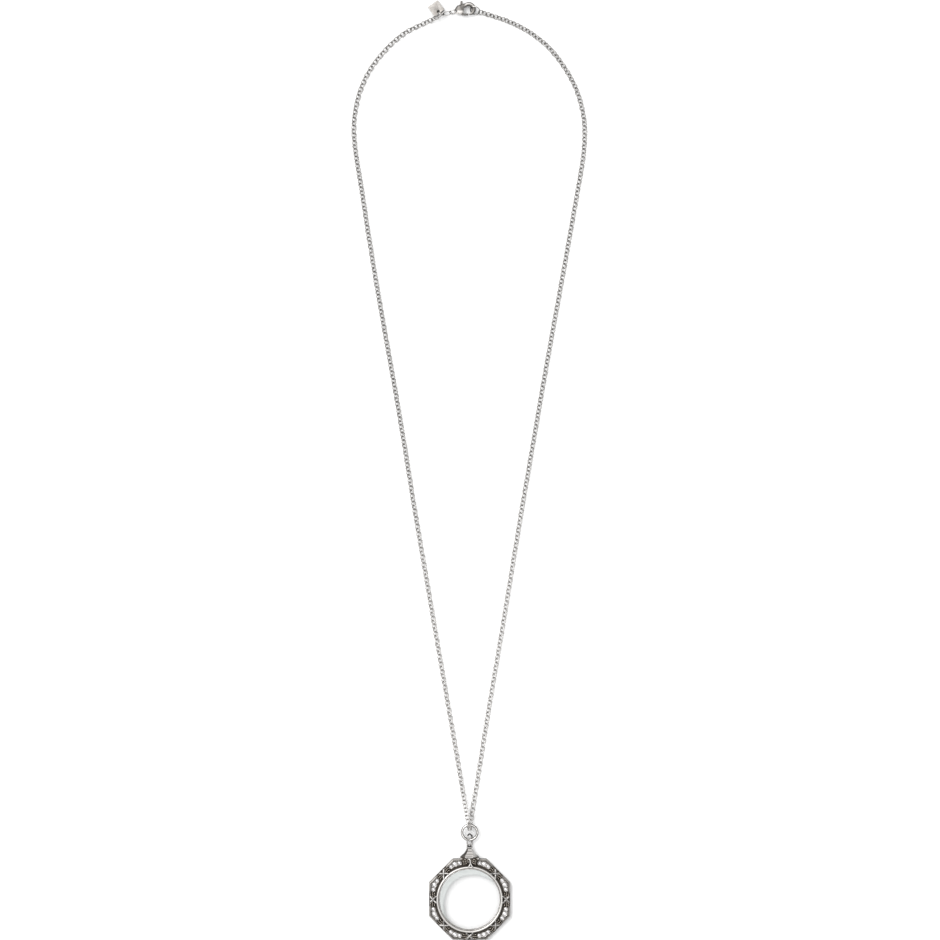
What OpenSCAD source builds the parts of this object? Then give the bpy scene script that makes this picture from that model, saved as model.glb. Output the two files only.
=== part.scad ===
// Long chain necklace with an octagonal magnifier pendant, laid flat.
// X runs across the necklace, Y from the pendant up to the clasp, Z up from the surface.

/* [Lens] */
// Radius of the magnifying lens
lens_r = 15.5; // [13:0.1:18]
// Thickness of the lens at its edge
lens_edge = 1.2; // [0.8:0.1:1.6]
// Height of each of the lens's two domes
lens_dome = 0.9; // [0.4:0.1:1.2]

/* [Bezel] */
// Wall of the bezel outside the lens
bezel_wall = 1.0; // [0.8:0.1:1.5]
// How far the bezel's lips reach in over the lens
bezel_lip = 0.4; // [0.2:0.1:0.8]
// Radius of the bright bead on the bezel
bezel_bead = 0.55; // [0.4:0.05:0.65]

/* [Octagonal frame] */
// Width of the decorated band between the bezel and a flat side
band_w = 3.5; // [3:0.1:5]
// Height of the outer rim
frame_h = 3.0; // [2.6:0.1:4]
// Thickness of the back plate, which is the channel's floor
floor_h = 1.3; // [1:0.1:1.6]
// Width of the outer rim
rim_w = 1.1; // [0.8:0.1:1.4]
// Width and height of the rim's outer bevel
rim_bevel = 0.7; // [0.3:0.1:1]
// Wall that stands round the bezel
collar_w = 0.5; // [0.3:0.1:0.8]
// Height of the pads that carry the stones
pad_h = 0.6; // [0.4:0.1:0.9]

/* [Stones] */
// Diameter of the stone at each corner
corner_stone_d = 1.95; // [1.5:0.05:2.1]
// Diameter of the stones beside it
flank_stone_d = 1.5; // [1.2:0.05:1.6]
// Angle from a corner stone to its neighbours, seen from the lens's centre
flank_angle = 7.3; // [6.8:0.1:8]
// Metal round each stone
stone_wall = 0.14; // [0.1:0.02:0.2]
// Radius of the grains between the stones
grain_r = 0.22; // [0.15:0.01:0.25]

/* [Ribbons and crown] */
// Radius of the crossed ribbons on the sides
ribbon_r = 0.3; // [0.2:0.05:0.4]
// Radius of the leaves beside them
leaf_r = 0.34; // [0.25:0.01:0.4]
// Width of the crown that carries the bail
crown_w = 9.2; // [8:0.1:11]
// How far the crown stands out past the flat side of the octagon
crown_out = 1.15; // [0.8:0.05:1.6]
// Height of the crown
crown_h = 3.9; // [3.4:0.1:4.6]
// Depth of the notch along the crown's top edge
crown_notch = 0.6; // [0.3:0.1:1]

/* [Bail] */
// Width of the cap at its foot
cap_w = 8.85; // [7:0.05:10]
// Length of the cap
cap_l = 3.8; // [3:0.1:5]
// Depth of the cap, front to back
cap_t = 4.0; // [3.6:0.1:4.6]
// Radius of the hidden peg that holds the cap in the crown
peg_r = 1.0; // [0.7:0.1:1.2]
// Length of that peg
peg_l = 2.2; // [1.5:0.1:2.6]
// Radius of the eyelet on the cap, to the middle of its wire
eyelet_r = 1.1; // [1.1:0.02:1.3]
// Radius of the eyelet's wire
eyelet_wire = 0.34; // [0.28:0.02:0.36]
// Length of the oval link, between the middles of its end wires
bail_link_l = 6.3; // [5.6:0.1:7]
// Width of the oval link, between the middles of its side wires
bail_link_w = 3.5; // [3.4:0.1:4]
// Radius of the oval link's wire
bail_link_wire = 0.36; // [0.3:0.02:0.4]
// Radius of the pendant ring, to the middle of its wire
pendant_ring_r = 3.8; // [3.4:0.1:4.4]
// Radius of the pendant ring's wire
pendant_ring_wire = 0.6; // [0.4:0.05:0.65]

/* [Chain] */
// Outer radius of the chain
chain_r = 1.1; // [0.9:0.05:1.2]

/* [Clasp] */
// Radius of the claw's outer edge
claw_r = 3.45; // [3.3:0.05:3.6]
// Radius of the claw's opening
claw_in = 1.85; // [1.75:0.05:1.95]
// Thickness of the claw
claw_t = 1.4; // [1.2:0.05:1.5]
// Length of the clasp's body behind the claw's centre, to the tail hole
tail_back = 6.4; // [6:0.1:7]
// Thickness of the clasp's body
clasp_t = 3.0; // [2.7:0.1:3.4]
// Radius of the hinge pin of the lever
pin_r = 0.4; // [0.3:0.02:0.45]
// Thickness of the lever
lever_t = 1.1; // [0.8:0.05:1.2]

/* [Rings and plate] */
// Radius of the ring that the clasp hooks, to the middle of its wire
end_ring_r = 2.4; // [2.35:0.05:2.6]
// Radius of the ring through the clasp's tail, to the middle of its wire
tail_ring_r = 1.65; // [1.6:0.05:1.8]
// Radius of the ring through the plate, to the middle of its wire
plate_ring_r = 1.7; // [1.65:0.05:1.85]
// Radius of the wire of these three rings
ring_wire = 0.24; // [0.2:0.01:0.3]
// Length of the link between the tail ring and the plate ring, between its end wires
connector_l = 4.5; // [4.4:0.05:4.8]
// Width of that link, between its side wires
connector_w = 1.8; // [1.6:0.05:2.2]
// Radius of that link's wire
connector_wire = 0.2; // [0.15:0.01:0.22]
// Side of the small square plate
plate_w = 6; // [5.4:0.1:6.4]
// Thickness of the plate
plate_t = 0.9; // [0.6:0.1:1.2]
// Radius of the hole in the plate
plate_hole_r = 0.75; // [0.65:0.05:0.85]

/* [Hidden] */
CORNERS = [for (i = [1:8]) str("corner_stone_", i)];
FLANKS = [for (i = [1:16]) str("flank_stone_", i)];

$fn = 48;

// Clearances
fit_gap = 0.1;    // between pieces that are seated in each other
stone_gap = 0.08; // round a stone in its seat
pin_gap = 0.05;   // round the hinge pin
link_gap = 0.15;  // between links that pass through each other

// Pendant, measured from the lens's centre
seat_r = lens_r + fit_gap;
bezel_r = seat_r + bezel_wall;
bore_r = bezel_r + fit_gap;
apothem = bore_r + band_w;
rim_in = apothem - rim_w;
lens_z = floor_h - fit_gap;              // lower edge of the lens's rim
lens_dome_r = (lens_r * lens_r + lens_dome * lens_dome) / (2 * lens_dome);
bezel_lip_h = lens_z + lens_edge + fit_gap;
bezel_bead_z = bezel_lip_h + 0.6;
bezel_foot = 0.2;
corner_at = bore_r + band_w * 0.67;      // where the corner stones sit
flank_at = bore_r + band_w * 0.6;        // where the flank stones sit
pad_in = bore_r + band_w * 0.3;
pad_top = floor_h + pad_h;
collar_h = frame_h - 0.8;
stone_z = pad_top + 0.35;                // girdle of the stones
seat_top = pad_top + 0.45;
band_in = bore_r + collar_w + fit_gap;   // inner edge of the ornament
pad_angle = 11.5;                        // half the angle that a corner's stones take
side_w = band_w * 1.8;                   // length of the ornament on a side
relief_h = frame_h - 0.7;                // height of the rim where the ornament reaches over it
relief_bed = relief_h - 0.1;             // top of the bed that the ribbons and leaves are sunk in

// Crown and cap
crown_in = bore_r + collar_w;
crown_foot = crown_in - 0.4;             // its lower edge, sunk in the collar
stone_beside = 22.5 - flank_angle;       // angle from the top to the stones beside the crown
stone_reach = flank_stone_d / 2 + stone_gap + stone_wall + fit_gap;
crown_waist = flank_at * sin(stone_beside) - stone_reach;
crown_shoulder = flank_at * cos(stone_beside) + stone_reach;
crown_top = apothem + crown_out;
cap_foot = crown_top + fit_gap;
cap_z = cap_t / 2 + fit_gap;             // middle of the cap and of the eyelet
cap_head = cap_foot + cap_l;
eyelet_y = cap_head + eyelet_r - 0.05;

// The pendant hangs from the chain's turn: each place follows from the one above it
turn_y = -177.4;                         // top wire of the pendant ring
turn_gap = chain_r + pendant_ring_wire + 0.2;
ring_lean = 7;                           // tilt of the pendant ring
ring_z = cap_z + pendant_ring_r * sin(ring_lean);
turn_z = cap_z + 2 * pendant_ring_r * sin(ring_lean);
ring_y = turn_y - pendant_ring_r * cos(ring_lean);
ring_low_y = ring_y - pendant_ring_r * cos(ring_lean);
link_over = 2.9;                         // how far the link reaches up inside the ring
link_roll = 50;
link_top_y = ring_low_y + link_over;
link_y = link_top_y - bail_link_l / 2;
link_low_y = link_top_y - bail_link_l;
pendant_y = link_low_y - eyelet_y;       // the link's lower end lies in the eyelet's middle

// Clasp, measured from the claw's centre
claw_at = [-0.35, 230.05, clasp_t / 2];
opening_at = [-0.5, -0.45];              // the claw is thicker at its top and right
pivot = [-(tail_back - 2.15), -0.4];
tail_at = [-tail_back, -1.1];
root_angle = 150;                        // where the claw leaves the body
nose_angle = -80;                        // where the nose ends
nose_taper = 0.075;                      // loss of radius at each of the nose's last steps
CLAW_STEPS = 16;
slot_w = lever_t + 2 * fit_gap;
gate_y = -claw_middle(nose_angle);       // middle of the closed gate

// Rings of the clasp end: [heading, roll]
end_ring_turn = [-20, 45];
tail_ring_turn = [12, 68];
plate_ring_turn = [-22, -66];
connector_turn = [12, 0];
end_ring_at = [claw_at[0] + inner_edge(0) - link_gap - ring_wire - 0.1 + end_ring_r * cos(end_ring_turn[0]),
               claw_at[1] - 0.8,
               end_ring_r * sin(end_ring_turn[1]) + ring_wire];
tail_ring_at = [claw_at[0] + tail_at[0] + 0.05 - tail_ring_r * cos(tail_ring_turn[0]),
                claw_at[1] + tail_at[1] - tail_ring_r * sin(tail_ring_turn[0]),
                tail_ring_r * sin(tail_ring_turn[1]) + ring_wire];
connector_at = [tail_ring_at[0] - 3.05, tail_ring_at[1] - 0.8, tail_ring_at[2] - 0.2];
plate_ring_at = [connector_at[0] - 2.95, connector_at[1] + 0.2,
                 -plate_ring_r * sin(plate_ring_turn[1]) + ring_wire];
plate_turn = 35;
plate_lift = 1.1;                        // the plate's near edge rides up on its ring
plate_lean = asin(plate_lift / plate_w);
plate_hole_in = 0.95;                    // from the edge to the hole's centre
plate_hole_at = [plate_ring_at[0] - plate_ring_r * cos(plate_ring_turn[0]) + 0.4,
                 plate_ring_at[1] - plate_ring_r * sin(plate_ring_turn[0])];

// Routes of the chain's two sides, from the clasp end to the pendant: [x, y, z]
LEFT_ROUTE = [
    [-18.1, 225.1, 1.9], [-22, 223.3, 1.1], [-32, 218.4, 1.1], [-41.5, 210.3, 1.1], [-50.2, 199, 1.1],
    [-55.6, 186.5, 1.1], [-57.9, 172, 1.1], [-56.8, 157, 1.1], [-54.2, 141, 1.1], [-51.2, 121, 1.1],
    [-47, 95, 1.1], [-42.3, 68, 1.1], [-37, 38, 1.1], [-32, 8, 1.1], [-27.4, -21, 1.1],
    [-22.3, -51, 1.1], [-17.2, -81, 1.1], [-12.2, -110, 1.1], [-7.5, -137, 1.1], [-3.6, -160, 1.3],
    [-1.9, -170, 3.0], [-0.9, -175, 4.7]];
RIGHT_ROUTE = [
    [6.0, 228.25, 1.65], [9.8, 227.2, 1.1], [20, 223.7, 1.1], [30, 218.5, 1.1], [40, 210.4, 1.1],
    [48.8, 198.6, 1.1], [54.3, 187, 1.1], [57.3, 173, 1.1], [56.9, 158, 1.1], [54.2, 141, 1.1],
    [50.7, 121, 1.1], [46.1, 95, 1.1], [41.2, 68, 1.1], [35.9, 38, 1.1], [30.8, 8, 1.1],
    [25.8, -21, 1.1], [20.9, -51, 1.1], [16, -81, 1.1], [11.1, -110, 1.1], [6.7, -137, 1.1],
    [3.1, -160, 1.1], [1.4, -170, 1.1], [0.7, -175, 1.1]];
NECK_POINTS = 9;  // stretches with a ring halfway, where the chain curves round the neck
TURN_STEPS = 3;   // rings in each half of the turn round the pendant ring
CHAIN_SIDES = 8;
turn_cut = 16;    // angle by which each half stops short of the other

// Functions for the claw: its inner edge and its middle in direction a, from its centre
function inner_edge(a) =
    let (out = opening_at * [cos(a), sin(a)])
    out + sqrt(claw_in * claw_in - opening_at * opening_at + out * out);
function claw_middle(a) = (claw_r + inner_edge(a)) / 2;

// Functions for routes
function unit(v) = v / norm(v);
function mid_point(p, i) =
    let (a = p[max(i - 1, 0)], b = p[i], c = p[i + 1], d = p[min(i + 2, len(p) - 1)])
    (9 * (b + c) - a - d) / 16;
function rounded(p) =
    [for (i = [0:len(p) - 1], half = [0, 1])
        if (half == 0 || (i < NECK_POINTS && i < len(p) - 1)) half == 0 ? p[i] : mid_point(p, i)];
// One half of the turn round the pendant ring: side is 1 over the wire, -1 under it
function turn(side) =
    [for (k = [0:TURN_STEPS])
        let (a = 90 + (90 - turn_cut) * k / TURN_STEPS)
        [-0.1 * (TURN_STEPS - k) * side / TURN_STEPS, turn_y + turn_gap * cos(a),
         turn_z + side * turn_gap * sin(a)]];
function tangents(p) =
    [for (i = [0:len(p) - 1]) unit(p[min(i + 1, len(p) - 1)] - p[max(i - 1, 0)])];
function normals(t) =
    [for (i = 0, n = unit(cross([0, 0, 1], t[0])); i < len(t);
          i = i + 1, n = i < len(t) ? unit(n - (n * t[i]) * t[i]) : n) n];

// A closed tube along the points p
module tube(p, r, sides) {
    t = tangents(p);
    n = normals(t);
    rings = [for (i = [0:len(p) - 1], k = [0:sides - 1])
        let (a = 360 * (k + 0.5) / sides)
        p[i] + r * (cos(a) * n[i] + sin(a) * cross(t[i], n[i]))];
    last = (len(p) - 1) * sides;
    walls = [for (i = [0:len(p) - 2], k = [0:sides - 1])
        let (a = i * sides + k, b = i * sides + (k + 1) % sides)
        each [[a, b + sides, b], [a, a + sides, b + sides]]];
    ends = [[for (k = [0:sides - 1]) k], [for (k = [sides - 1:-1:0]) last + k]];
    polyhedron(rings, concat(walls, ends));
}

// A round ring of wire
module ring(r, wire, round = 48, sides = 24) rotate_extrude($fn = round)
    translate([r, 0]) circle(r = wire, $fn = sides);

// An oval link with straight sides along X
module oval_link(l, w, wire) {
    straight = (l - w) / 2;
    for (end = [-1, 1])
        translate([end * straight, 0, 0]) rotate([0, 0, end > 0 ? -90 : 90])
            rotate_extrude(angle = 180) translate([w / 2, 0]) circle(r = wire, $fn = 24);
    for (side = [-1, 1])
        translate([-straight, side * w / 2, 0]) rotate([0, 90, 0])
            cylinder(h = 2 * straight, r = wire, $fn = 24);
}

// Sets its children at a place, turned to a heading and rolled about it
module laid(at, turns, pitch = 0) translate(at) rotate([turns[1], -pitch, turns[0]]) children();

// A round bar from p to q with rounded ends, or a leaf where it narrows to tip
module bar(p, q, r, tip = 0) hull() {
    translate(p) sphere(r = r, $fn = 6);
    translate(q) sphere(r = tip == 0 ? r : tip, $fn = 6);
}

// An eight-sided prism or pyramid stump with flat sides on the X and Y axes
module octagon(low, high, h) rotate([0, 0, 22.5])
    cylinder(h = h, r1 = low / cos(22.5), r2 = high / cos(22.5), $fn = 8);

// Places on the pendant, by angle and distance from the lens's centre
module around(angle, at, z) rotate([0, 0, angle]) translate([at, 0, z]) children();
module every_side() for (side = [0:7]) rotate([0, 0, 45 * side]) children();
module every_corner() for (side = [0:7]) rotate([0, 0, 45 * side + 22.5]) children();
module on_pendant() translate([0, pendant_y, 0]) children();

// The octagonal plate with its bevelled rim and channel, and the crown's block
module octagon_frame() color([0.50, 0.49, 0.47]) on_pendant() difference() {
    union() {
        difference() {
            union() {
                octagon(apothem, apothem, frame_h - rim_bevel);
                translate([0, 0, frame_h - rim_bevel]) octagon(apothem, apothem - rim_bevel, rim_bevel);
            }
            translate([0, 0, floor_h]) octagon(rim_in, rim_in, frame_h);
            every_side() translate([rim_in - 0.1, -side_w / 2, relief_h])
                cube([rim_w + 0.2, side_w, frame_h]);
        }
        cylinder(h = collar_h, r = bore_r + collar_w, $fn = 96);
        crown_block();
    }
    translate([0, 0, -1]) cylinder(h = frame_h + crown_h, r = bore_r, $fn = 96);
    translate([0, crown_top + 1, cap_z]) rotate([90, 0, 0])
        cylinder(h = peg_l + crown_notch + 1 + fit_gap, r = peg_r + fit_gap, $fn = 24);
}

// Outline of the crown: narrow between the stones beside it, wide above them
module crown_outline() polygon([
    [-crown_waist, crown_foot], [crown_waist, crown_foot], [crown_waist, crown_shoulder],
    [crown_w / 2, crown_shoulder + 0.7], [crown_w / 2, crown_top], [0, crown_top - crown_notch],
    [-crown_w / 2, crown_top], [-crown_w / 2, crown_shoulder + 0.7], [-crown_waist, crown_shoulder]]);

// The block on top that carries the cap
module crown_block() intersection() {
    linear_extrude(height = crown_h) crown_outline();
    rotate([90, 0, 90]) translate([0, 0, -crown_w / 2]) linear_extrude(height = crown_w) polygon([
        [0, 0], [crown_top + 1, 0], [crown_top + 1, crown_h - 0.4], [crown_top - 1.4, crown_h],
        [crown_in + 1.6, crown_h], [crown_foot, relief_h], [0, relief_h]]);
}

// Crossed ribbons and leaves at the middle of a side, sunk in the bed below them
module side_relief() {
    half = side_w / 2;
    low = relief_bed - 0.02;
    width = rim_in - band_in;
    translate([band_in, -half, floor_h + fit_gap]) cube([band_w, side_w, relief_bed - floor_h - fit_gap]);
    for (way = [-1, 1]) {
        bar([band_in + ribbon_r, way * half * 0.38, low], [rim_in, -way * half * 0.52, low], ribbon_r);
        bar([band_in + width * 0.7, way * half * 0.55, low],
            [band_in + width * 0.55, way * half * 0.92, low - 0.1], leaf_r, leaf_r / 2);
        bar([rim_in - leaf_r, way * half * 0.2, low], [rim_in - leaf_r, way * half * 0.85, low - 0.1],
            leaf_r, leaf_r / 2);
        bar([band_in + leaf_r, way * half * 0.55, low], [band_in + leaf_r, way * half * 0.92, low - 0.1],
            leaf_r, leaf_r / 2);
    }
}

// Three settings and their grains at a corner
module corner_settings() {
    stone_pad();
    translate([corner_at, 0, 0]) setting(corner_stone_d / 2);
    for (way = [-1, 1]) {
        rotate([0, 0, way * flank_angle]) translate([flank_at, 0, 0]) setting(flank_stone_d / 2);
        for (out = [-1, 1])
            rotate([0, 0, way * flank_angle * 0.52])
                translate([(corner_at + flank_at) / 2 + out * 0.72, 0, pad_top + 0.08])
                    sphere(r = grain_r, $fn = 6);
    }
}

module stone_pad() rotate([0, 0, -pad_angle]) rotate_extrude(angle = 2 * pad_angle, $fn = 96)
    translate([pad_in, floor_h + fit_gap]) square([band_w, pad_h - fit_gap]);

module setting(r) translate([0, 0, floor_h + fit_gap])
    cylinder(h = seat_top - floor_h - fit_gap, r = r + stone_gap + stone_wall, $fn = 12);

module stone_bores() every_corner() {
    stone_bore(corner_at, corner_stone_d / 2);
    for (way = [-1, 1]) rotate([0, 0, way * flank_angle]) stone_bore(flank_at, flank_stone_d / 2);
}

module stone_bore(at, r) translate([at, 0, floor_h + 0.2])
    cylinder(h = frame_h, r = r + stone_gap, $fn = 12);

// The ornament that lies in the frame's channel: settings, grains, ribbons and leaves on one thin ring
module ornament_band() color([0.42, 0.41, 0.39]) on_pendant() difference() {
    intersection() {
        difference() {
            union() {
                translate([0, 0, floor_h + fit_gap]) cylinder(h = pad_h / 2, r = apothem + 2, $fn = 48);
                every_side() side_relief();
                every_corner() corner_settings();
            }
            linear_extrude(height = crown_h * 2) offset(delta = fit_gap) crown_outline();
        }
        octagon(rim_in - fit_gap, rim_in - fit_gap, crown_h);
    }
    cylinder(h = crown_h * 2, r = band_in, $fn = 96);
    stone_bores();
}

// A ring whose lips hold the lens above and below
module lens_bezel() color([0.82, 0.82, 0.82]) on_pendant() rotate_extrude($fn = 96) {
    difference() {
        translate([lens_r - bezel_lip, bezel_foot])
            square([bezel_r - lens_r + bezel_lip, bezel_bead_z - bezel_foot]);
        translate([0, lens_z - fit_gap]) square([seat_r, bezel_lip_h - lens_z + fit_gap]);
        translate([0, bezel_lip_h + 0.35]) square([bezel_r - 2 * bezel_bead + 0.05, frame_h]);
        translate([lens_r - bezel_lip, bezel_lip_h + 0.35]) rotate(-35) square([0.5, 1]);
    }
    translate([bezel_r - bezel_bead, bezel_bead_z]) circle(r = bezel_bead, $fn = 24);
}

module lens() color([0.9, 0.95, 0.97, 0.4]) on_pendant() translate([0, 0, lens_z + lens_edge / 2])
    rotate_extrude($fn = 96) intersection() {
        translate([0, -lens_edge * 2]) square([lens_r, lens_edge * 4]);
        translate([0, lens_edge / 2 + lens_dome - lens_dome_r]) circle(r = lens_dome_r, $fn = 720);
        translate([0, lens_dome_r - lens_edge / 2 - lens_dome]) circle(r = lens_dome_r, $fn = 720);
    }

// A round-cut stone with eight sides: table, crown, girdle and pointed back
STONE_SIDES = 8;
STONE_ROWS = [[0.56, 0.34, 0], [0.86, 0.2, 0.5], [1, 0.04, 0], [1, -0.04, 0]];  // [radius, height, turn]
STONE_POINT = -0.86;

module cut_stone(d) {
    n = STONE_SIDES;
    points = [for (row = STONE_ROWS, k = [0:n - 1])
        let (a = 360 * (k + row[2]) / n) d / 2 * [row[0] * cos(a), row[0] * sin(a), row[1]]];
    tip = len(points);
    walls = [for (i = [0:len(STONE_ROWS) - 2], k = [0:n - 1])
        let (a = i * n + k, b = i * n + (k + 1) % n, c = a + n, d = b + n)
        each i == 1 ? [[a, d, c], [a, b, d]] : [[a, b, c], [b, d, c]]];
    table = [[for (k = [n - 1:-1:0]) k]];
    back = [for (k = [0:n - 1]) [3 * n + k, 3 * n + (k + 1) % n, tip]];
    polyhedron(concat(points, [[0, 0, STONE_POINT * d / 2]]), concat(walls, table, back));
}

module corner_stone(i) color([0.93, 0.91, 0.91]) on_pendant()
    around(45 * i - 22.5, corner_at, stone_z) cut_stone(corner_stone_d);

module flank_stone(i) color([0.93, 0.91, 0.91]) on_pendant()
    around(45 * ceil(i / 2) - 22.5 + (i % 2 == 1 ? -1 : 1) * flank_angle, flank_at, stone_z)
        cut_stone(flank_stone_d);

// The flared cap: each row is [share of its length, of its width, of its depth]
CAP_ROWS = [
    [0, 1, 1], [0.1, 0.93, 0.97], [0.3, 0.73, 0.86],
    [0.52, 0.55, 0.74], [0.76, 0.41, 0.63], [1, 0.33, 0.56]];
CAP_FLAT = 0.55;  // share of the width that the front facet takes
CAP_RIDGES = 5;
CAP_SLICE = 0.02; // thickness of the slices between which the cap is spanned

// Half of one section of the cap, to the side of positive X
module cap_half(row) {
    w = row[1] * cap_w / 2;
    d = row[2] * cap_t / 2;
    f = w * CAP_FLAT;
    rotate([90, 0, 0]) linear_extrude(height = CAP_SLICE)
        polygon([[0, d], [f, d], [w, d * 0.35], [w, -d * 0.35], [f, -d], [0, -d]]);
}

module cap_horn() {
    slope = crown_notch / (crown_w / 2);
    for (side = [0, 1]) mirror([side, 0, 0]) hull() {
        multmatrix([[1, 0, 0, 0], [slope, 1, 0, -crown_notch], [0, 0, 1, 0], [0, 0, 0, 1]])
            cap_half(CAP_ROWS[0]);
        translate([0, CAP_ROWS[1][0] * cap_l, 0]) cap_half(CAP_ROWS[1]);
    }
    for (i = [1:len(CAP_ROWS) - 2]) hull() for (k = [i, i + 1], side = [0, 1])
        translate([0, CAP_ROWS[k][0] * cap_l, 0]) mirror([side, 0, 0]) cap_half(CAP_ROWS[k]);
}

module bail_cap() color([0.62, 0.60, 0.59]) on_pendant() translate([0, cap_foot, cap_z]) {
    cap_horn();
    for (k = [0:CAP_RIDGES - 1]) {
        share = 0.14 + 0.17 * k;
        w = lookup(share, [for (r = CAP_ROWS) [r[0], r[1]]]) * cap_w;
        d = lookup(share, [for (r = CAP_ROWS) [r[0], r[2]]]) * cap_t / 2;
        half = w * CAP_FLAT / 2 - 0.15;
        bar([-half, share * cap_l, d - 0.04], [half, share * cap_l, d - 0.04], 0.18);
    }
    rotate([90, 0, 0]) translate([0, 0, -0.5]) cylinder(h = peg_l + crown_notch + 0.5, r = peg_r, $fn = 24);
    translate([0, cap_l, 0]) rotate([90, 0, 0]) ring(0.95, 0.32, 24, 10);
    translate([0, eyelet_y - cap_foot, 0]) ring(eyelet_r, eyelet_wire, 32, 10);
}

module bail_link() color([0.66, 0.65, 0.63])
    laid([0, link_y, cap_z], [90, link_roll]) oval_link(bail_link_l, bail_link_w, bail_link_wire);

module pendant_ring() color([0.78, 0.77, 0.76])
    laid([0, ring_y, ring_z], [90, 0], ring_lean) ring(pendant_ring_r, pendant_ring_wire);

module chain_left() color([0.63, 0.62, 0.61])
    tube(concat(rounded(LEFT_ROUTE), turn(1)), chain_r, CHAIN_SIDES);

module chain_right() color([0.63, 0.62, 0.61])
    tube(concat(rounded(RIGHT_ROUTE), turn(-1)), chain_r, CHAIN_SIDES);

// One section of the claw in direction a, slimmer by less
module claw_section(a, less = 0) rotate([0, 0, a]) translate([claw_middle(a), 0, 0]) {
    half = (claw_r - inner_edge(a)) / 2 - less;
    scale([half, half, claw_t / 2 - less]) sphere(r = 1, $fn = 16);
}

// The claw, its nose and the shell that holds the lever
module clasp_body() color([0.62, 0.61, 0.60]) translate(claw_at) difference() {
    union() {
        for (step = [0:CLAW_STEPS - 1]) hull() for (k = [step, step + 1])
            claw_section(root_angle + (nose_angle - root_angle) * k / CLAW_STEPS,
                         nose_taper * max(0, k - CLAW_STEPS + 3));
        difference() {
            hull() {
                translate(tail_at) scale([1, 1, 0.52]) sphere(r = 1.1, $fn = 20);
                translate([pivot[0] - 0.1, pivot[1] + 0.1, 0]) scale([2.3, 2.6, clasp_t / 2])
                    sphere(r = 1, $fn = 20);
                claw_section(root_angle);
                claw_section(root_angle - 22);
            }
            translate([opening_at[0], opening_at[1], -clasp_t]) cylinder(h = 2 * clasp_t, r = claw_in, $fn = 48);
            translate([opening_at[0] - claw_in - 0.25, -2 * claw_r, -clasp_t])
                cube([2 * claw_in, 2 * claw_r + 1, 2 * clasp_t]);
        }
    }
    translate([0, 0, -slot_w / 2]) linear_extrude(height = slot_w) polygon([
        [pivot[0] - 1.4, -4], [-2.04, -4], [-2.04, 0.2], [pivot[0] + 1.2, 1.2],
        [pivot[0] + 1.2, 4.5], [pivot[0] - 1.4, 4.5]]);
    translate([pivot[0], pivot[1], -clasp_t]) cylinder(h = 2 * clasp_t, r = pin_r + pin_gap / 2, $fn = 32);
    translate([tail_at[0], tail_at[1], -clasp_t]) cylinder(h = 2 * clasp_t, r = 0.66, $fn = 24);
}

// The lever: its gate closes the claw and its tab stands out at the back
module clasp_lever() color([0.60, 0.59, 0.58]) translate(claw_at) {
    tab = [pivot[0] + 0.55, claw_r];
    translate([0, 0, -lever_t / 2]) difference() {
        union() {
            translate(pivot) cylinder(h = lever_t, r = 0.95, $fn = 32);
            translate(tab) cylinder(h = lever_t, r = 0.5, $fn = 24);
            linear_extrude(height = lever_t) polygon([
                [pivot[0] - 0.45, pivot[1]], [pivot[0] + 0.6, pivot[1]],
                [tab[0] + 0.5, tab[1]], [tab[0] - 0.5, tab[1]]]);
            linear_extrude(height = lever_t) polygon([
                [pivot[0] - 0.7, pivot[1] - 0.6], [pivot[0] + 0.7, gate_y - 0.34],
                [-0.5, gate_y - 0.38], [-0.22, gate_y], [-0.35, gate_y + 0.36],
                [pivot[0] + 1.7, gate_y + 0.42], [pivot[0] + 0.9, pivot[1] - 0.2]]);
        }
        translate([pivot[0], pivot[1], -1]) cylinder(h = lever_t + 2, r = pin_r + pin_gap, $fn = 32);
    }
}

module clasp_pin() color([0.60, 0.59, 0.58]) translate(claw_at + [pivot[0], pivot[1], 0])
    cylinder(h = clasp_t - 0.1, r = pin_r, center = true, $fn = 32);

module end_ring() color([0.72, 0.71, 0.70]) laid(end_ring_at, end_ring_turn) ring(end_ring_r, ring_wire);

module tail_ring() color([0.66, 0.65, 0.64]) laid(tail_ring_at, tail_ring_turn) ring(tail_ring_r, ring_wire);

module plate_ring() color([0.55, 0.54, 0.53])
    laid(plate_ring_at, plate_ring_turn) ring(plate_ring_r, ring_wire);

module connector_link() color([0.70, 0.69, 0.68])
    laid(connector_at, connector_turn, -3) oval_link(connector_l, connector_w, connector_wire);

// The square plate, bare, hung on its ring by a hole near one edge
module plain_plate() color([0.72, 0.71, 0.67])
    translate([plate_hole_at[0], plate_hole_at[1], plate_lift]) rotate([0, 0, plate_turn])
        translate([0, -plate_hole_in, 0]) rotate([-plate_lean, 0, 0]) difference() {
            translate([-plate_w / 2, 0, 0]) cube([plate_w, plate_w, plate_t]);
            translate([0, plate_hole_in, -1]) cylinder(h = plate_t + 2, r = plate_hole_r, $fn = 24);
        }

octagon_frame();
ornament_band();
lens_bezel();
lens();
bail_cap();
bail_link();
pendant_ring();
chain_left();
chain_right();
clasp_body();
clasp_lever();
clasp_pin();
tail_ring();
connector_link();
plate_ring();
end_ring();
plain_plate();
for (i = [1:8]) corner_stone(i);
for (i = [1:16]) flank_stone(i);
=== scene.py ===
"""Looks of a long necklace with an octagonal magnifier pendant, laid flat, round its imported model.

X runs across the necklace, Y from the pendant up to the clasp, Z up from the surface, in metres.
"""
import math

import bmesh
import bpy
from mathutils import Matrix, Vector, noise


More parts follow.
